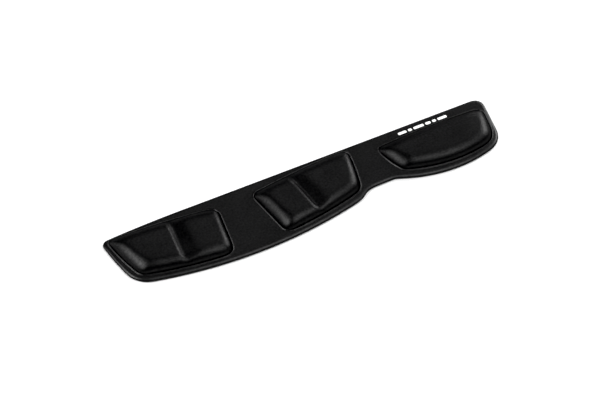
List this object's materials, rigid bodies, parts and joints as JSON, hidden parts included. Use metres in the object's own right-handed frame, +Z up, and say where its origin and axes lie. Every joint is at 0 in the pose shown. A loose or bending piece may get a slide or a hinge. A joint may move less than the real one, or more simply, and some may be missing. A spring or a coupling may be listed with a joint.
{
  "type": "keyboard palm support",
  "caption": "Long low palm support with soft fabric-covered cushions, relief channels and a non-slip base, shaped to lie along the front of a keyboard.",
  "frame": {"origin": "centre of the footprint's bounding box, on the underside that lies on the desk", "axes": "+X along the length towards the number-pad end, +Y back towards the keyboard, +Z up"},
  "size_m": [0.4671, 0.0909, 0.016],
  "materials": {
    "cover_fabric": "fine matte black knit with a faint sheen",
    "lining_foam": "soft dark polyurethane foam, flame-laminated to the knit",
    "core_foam": "open-cell memory foam",
    "backing_foam": "firm closed-cell foam sheet",
    "film": "thin hot-melt adhesive film",
    "rubber": "matte textured non-slip rubber",
    "print": "flat white heat-transfer print"
  },
  "bodies": {
    "root": {"rubber_base": "rubber", "base_film": "film", "backing_foam": "backing_foam", "left_cushion_film": "film", "middle_cushion_film": "film", "right_cushion_film": "film", "left_cushion_core": "core_foam", "middle_cushion_core": "core_foam", "right_cushion_core": "core_foam", "cover_lining": "lining_foam", "fabric_cover": "cover_fabric", "printed_mark": "print"}
  },
  "joints": []
}
